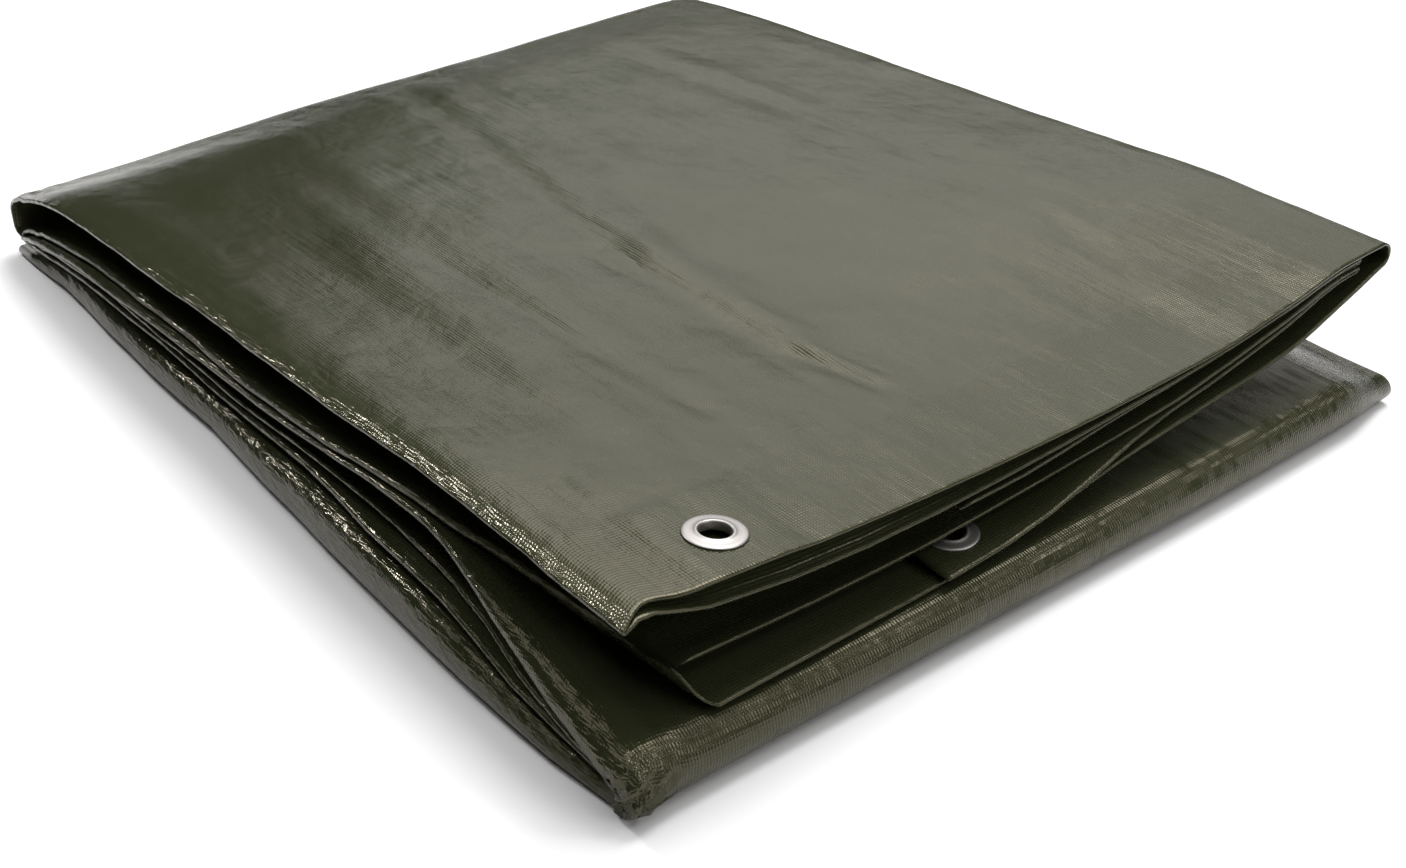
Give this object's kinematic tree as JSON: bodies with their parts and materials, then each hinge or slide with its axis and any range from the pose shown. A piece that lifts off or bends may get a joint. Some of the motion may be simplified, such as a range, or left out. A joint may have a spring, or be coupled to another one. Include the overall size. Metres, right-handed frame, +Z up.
{
  "type": "folded tarpaulin",
  "caption": "Dark olive poly tarp folded into a flat square pack, with open front hem edges and round aluminium eyelets in the hems.",
  "frame": {"origin": "centre of the bounding box, on the floor that the folded tarp rests on", "axes": "+X along the open front hem edges to the right, +Y from those edges to the back fold, +Z up"},
  "size_m": [0.507, 0.5878, 0.0774],
  "materials": {
    "sheet": "gloss",
    "eyelet_metal": "satin"
  },
  "bodies": {
    "root": {"tarp_sheet": "sheet", "hem_top": "sheet", "hem_corner": "sheet", "hem_inner": "sheet", "eyelet_top": "eyelet_metal", "eyelet_corner": "eyelet_metal", "eyelet_inner": "eyelet_metal", "washer_top": "eyelet_metal", "washer_corner": "eyelet_metal", "washer_inner": "eyelet_metal"}
  },
  "joints": []
}
